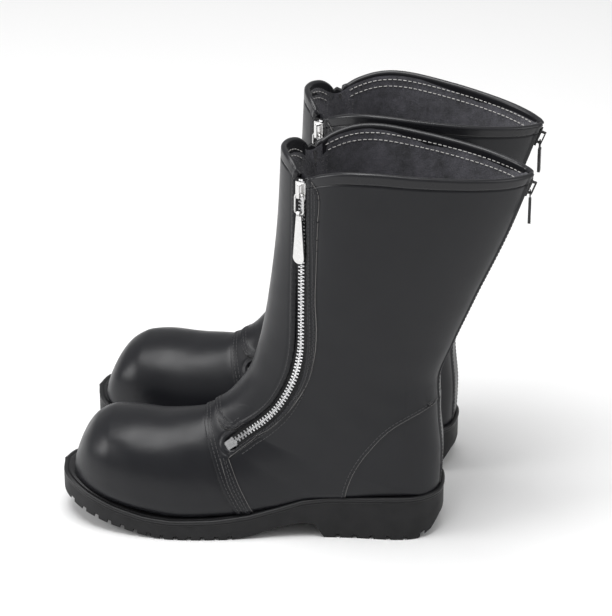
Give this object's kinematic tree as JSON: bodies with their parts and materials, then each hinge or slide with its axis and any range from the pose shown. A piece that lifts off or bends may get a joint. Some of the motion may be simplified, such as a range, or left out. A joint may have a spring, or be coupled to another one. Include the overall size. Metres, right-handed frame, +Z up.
{
  "type": "fire boots",
  "caption": "Pair of tall black leather fire boots with bulbous safety toes, lugged rubber soles, twin metal front zips on each boot and a rear zip with a hanging pull.",
  "frame": {"origin": "middle of the pair's bounding box, on the floor", "axes": "+Z up, toes towards -Y, +X towards the left boot; the right boot is the mirror image in the plane x = 0"},
  "size_m": [0.232, 0.3624, 0.3118],
  "materials": {
    "sole_rubber": "matt",
    "welt_rubber": "matt",
    "board": "matt",
    "spring_steel": "brushed",
    "lining_felt": "matt felt",
    "black_leather": "semi-gloss smooth",
    "collar_leather": "semi-gloss smooth",
    "zip_tape": "woven",
    "zip_metal": "bright",
    "pull_metal": "satin",
    "black_metal": "semi-gloss"
  },
  "bodies": {
    "left_boot": {"left_outsole": "sole_rubber", "left_heel_block": "sole_rubber", "left_welt": "welt_rubber", "left_insole_board": "board", "left_shank": "spring_steel", "left_footbed": "lining_felt", "left_vamp": "black_leather", "left_instep_band": "black_leather", "left_front_panel": "black_leather", "left_outer_quarter": "black_leather", "left_inner_quarter": "black_leather", "left_heel_cover": "black_leather", "left_backstay": "black_leather", "left_collar_binding": "collar_leather", "left_lining": "lining_felt", "left_toe_puff": "board", "left_heel_stiffener": "board", "left_outer_zip_tape": "zip_tape", "left_outer_zip_teeth": "zip_metal", "left_inner_zip_tape": "zip_tape", "left_inner_zip_teeth": "zip_metal", "left_rear_zip_tape": "zip_tape"},
    "left_outer_slider": {"left_outer_zip_slider": "pull_metal"},
    "left_outer_link": {"left_outer_zip_link": "pull_metal"},
    "left_outer_tab": {"left_outer_zip_tab": "pull_metal"},
    "left_inner_slider": {"left_inner_zip_slider": "pull_metal"},
    "left_inner_link": {"left_inner_zip_link": "pull_metal"},
    "left_inner_tab": {"left_inner_zip_tab": "pull_metal"},
    "left_rear_slider": {"left_rear_zip_slider": "black_metal"},
    "left_rear_pull": {"left_rear_zip_tab": "black_metal"},
    "right_boot": {"right_outsole": "sole_rubber", "right_heel_block": "sole_rubber", "right_welt": "welt_rubber", "right_insole_board": "board", "right_shank": "spring_steel", "right_footbed": "lining_felt", "right_vamp": "black_leather", "right_instep_band": "black_leather", "right_front_panel": "black_leather", "right_outer_quarter": "black_leather", "right_inner_quarter": "black_leather", "right_heel_cover": "black_leather", "right_backstay": "black_leather", "right_collar_binding": "collar_leather", "right_lining": "lining_felt", "right_toe_puff": "board", "right_heel_stiffener": "board", "right_outer_zip_tape": "zip_tape", "right_outer_zip_teeth": "zip_metal", "right_inner_zip_tape": "zip_tape", "right_inner_zip_teeth": "zip_metal", "right_rear_zip_tape": "zip_tape"},
    "right_outer_slider": {"right_outer_zip_slider": "pull_metal"},
    "right_outer_link": {"right_outer_zip_link": "pull_metal"},
    "right_outer_tab": {"right_outer_zip_tab": "pull_metal"},
    "right_inner_slider": {"right_inner_zip_slider": "pull_metal"},
    "right_inner_link": {"right_inner_zip_link": "pull_metal"},
    "right_inner_tab": {"right_inner_zip_tab": "pull_metal"},
    "right_rear_slider": {"right_rear_zip_slider": "black_metal"},
    "right_rear_pull": {"right_rear_zip_tab": "black_metal"}
  },
  "joints": [
    {"name": "left_outer_zip_slide", "type": "slide", "parent": "left_boot", "child": "left_outer_slider", "axis": [0.0252, -0.0023, -0.9997], "range_m": [0, 0.11]},
    {"name": "left_outer_link_swing", "type": "hinge", "parent": "left_outer_slider", "child": "left_outer_link", "pos_m": [0.09192, 0.01045, 0.28774], "axis": [-0.4522, -0.8919, -0.0093], "range_deg": [0, 90]},
    {"name": "left_outer_tab_swing", "type": "hinge", "parent": "left_outer_link", "child": "left_outer_tab", "pos_m": [0.0923, 0.01041, 0.27275], "axis": [-0.4522, -0.8919, -0.0093], "range_deg": [0, 90]},
    {"name": "left_inner_zip_slide", "type": "slide", "parent": "left_boot", "child": "left_inner_slider", "axis": [-0.0247, -0.0052, -0.9997], "range_m": [0, 0.11]},
    {"name": "left_inner_link_swing", "type": "hinge", "parent": "left_inner_slider", "child": "left_inner_link", "pos_m": [0.02464, 0.00662, 0.28774], "axis": [-0.5505, 0.8348, 0.0093], "range_deg": [0, 90]},
    {"name": "left_inner_tab_swing", "type": "hinge", "parent": "left_inner_link", "child": "left_inner_tab", "pos_m": [0.02427, 0.00654, 0.27275], "axis": [-0.5505, 0.8348, 0.0093], "range_deg": [0, 90]},
    {"name": "left_rear_zip_slide", "type": "slide", "parent": "left_boot", "child": "left_rear_slider", "axis": [0.0204, -0.3582, -0.9334], "range_m": [0, 0.12]},
    {"name": "left_rear_pull_swing", "type": "hinge", "parent": "left_rear_slider", "child": "left_rear_pull", "pos_m": [0.04872, 0.17634, 0.28308], "axis": [0.9984, 0.0569, 0], "range_deg": [-15, 120]},
    {"name": "right_outer_zip_slide", "type": "slide", "parent": "right_boot", "child": "right_outer_slider", "axis": [-0.0252, -0.0023, -0.9997], "range_m": [0, 0.11]},
    {"name": "right_outer_link_swing", "type": "hinge", "parent": "right_outer_slider", "child": "right_outer_link", "pos_m": [-0.09192, 0.01045, 0.28774], "axis": [-0.4522, 0.8919, 0.0093], "range_deg": [0, 90]},
    {"name": "right_outer_tab_swing", "type": "hinge", "parent": "right_outer_link", "child": "right_outer_tab", "pos_m": [-0.0923, 0.01041, 0.27275], "axis": [-0.4522, 0.8919, 0.0093], "range_deg": [0, 90]},
    {"name": "right_inner_zip_slide", "type": "slide", "parent": "right_boot", "child": "right_inner_slider", "axis": [0.0247, -0.0052, -0.9997], "range_m": [0, 0.11]},
    {"name": "right_inner_link_swing", "type": "hinge", "parent": "right_inner_slider", "child": "right_inner_link", "pos_m": [-0.02464, 0.00662, 0.28774], "axis": [-0.5505, -0.8348, -0.0093], "range_deg": [0, 90]},
    {"name": "right_inner_tab_swing", "type": "hinge", "parent": "right_inner_link", "child": "right_inner_tab", "pos_m": [-0.02427, 0.00654, 0.27275], "axis": [-0.5505, -0.8348, -0.0093], "range_deg": [0, 90]},
    {"name": "right_rear_zip_slide", "type": "slide", "parent": "right_boot", "child": "right_rear_slider", "axis": [-0.0204, -0.3582, -0.9334], "range_m": [0, 0.12]},
    {"name": "right_rear_pull_swing", "type": "hinge", "parent": "right_rear_slider", "child": "right_rear_pull", "pos_m": [-0.04872, 0.17634, 0.28308], "axis": [0.9984, -0.0569, 0], "range_deg": [-15, 120]},
    {"name": "pair_spacing", "type": "slide", "parent": "left_boot", "child": "right_boot", "axis": [-1, 0, 0], "range_m": [0, 0.15]}
  ]
}
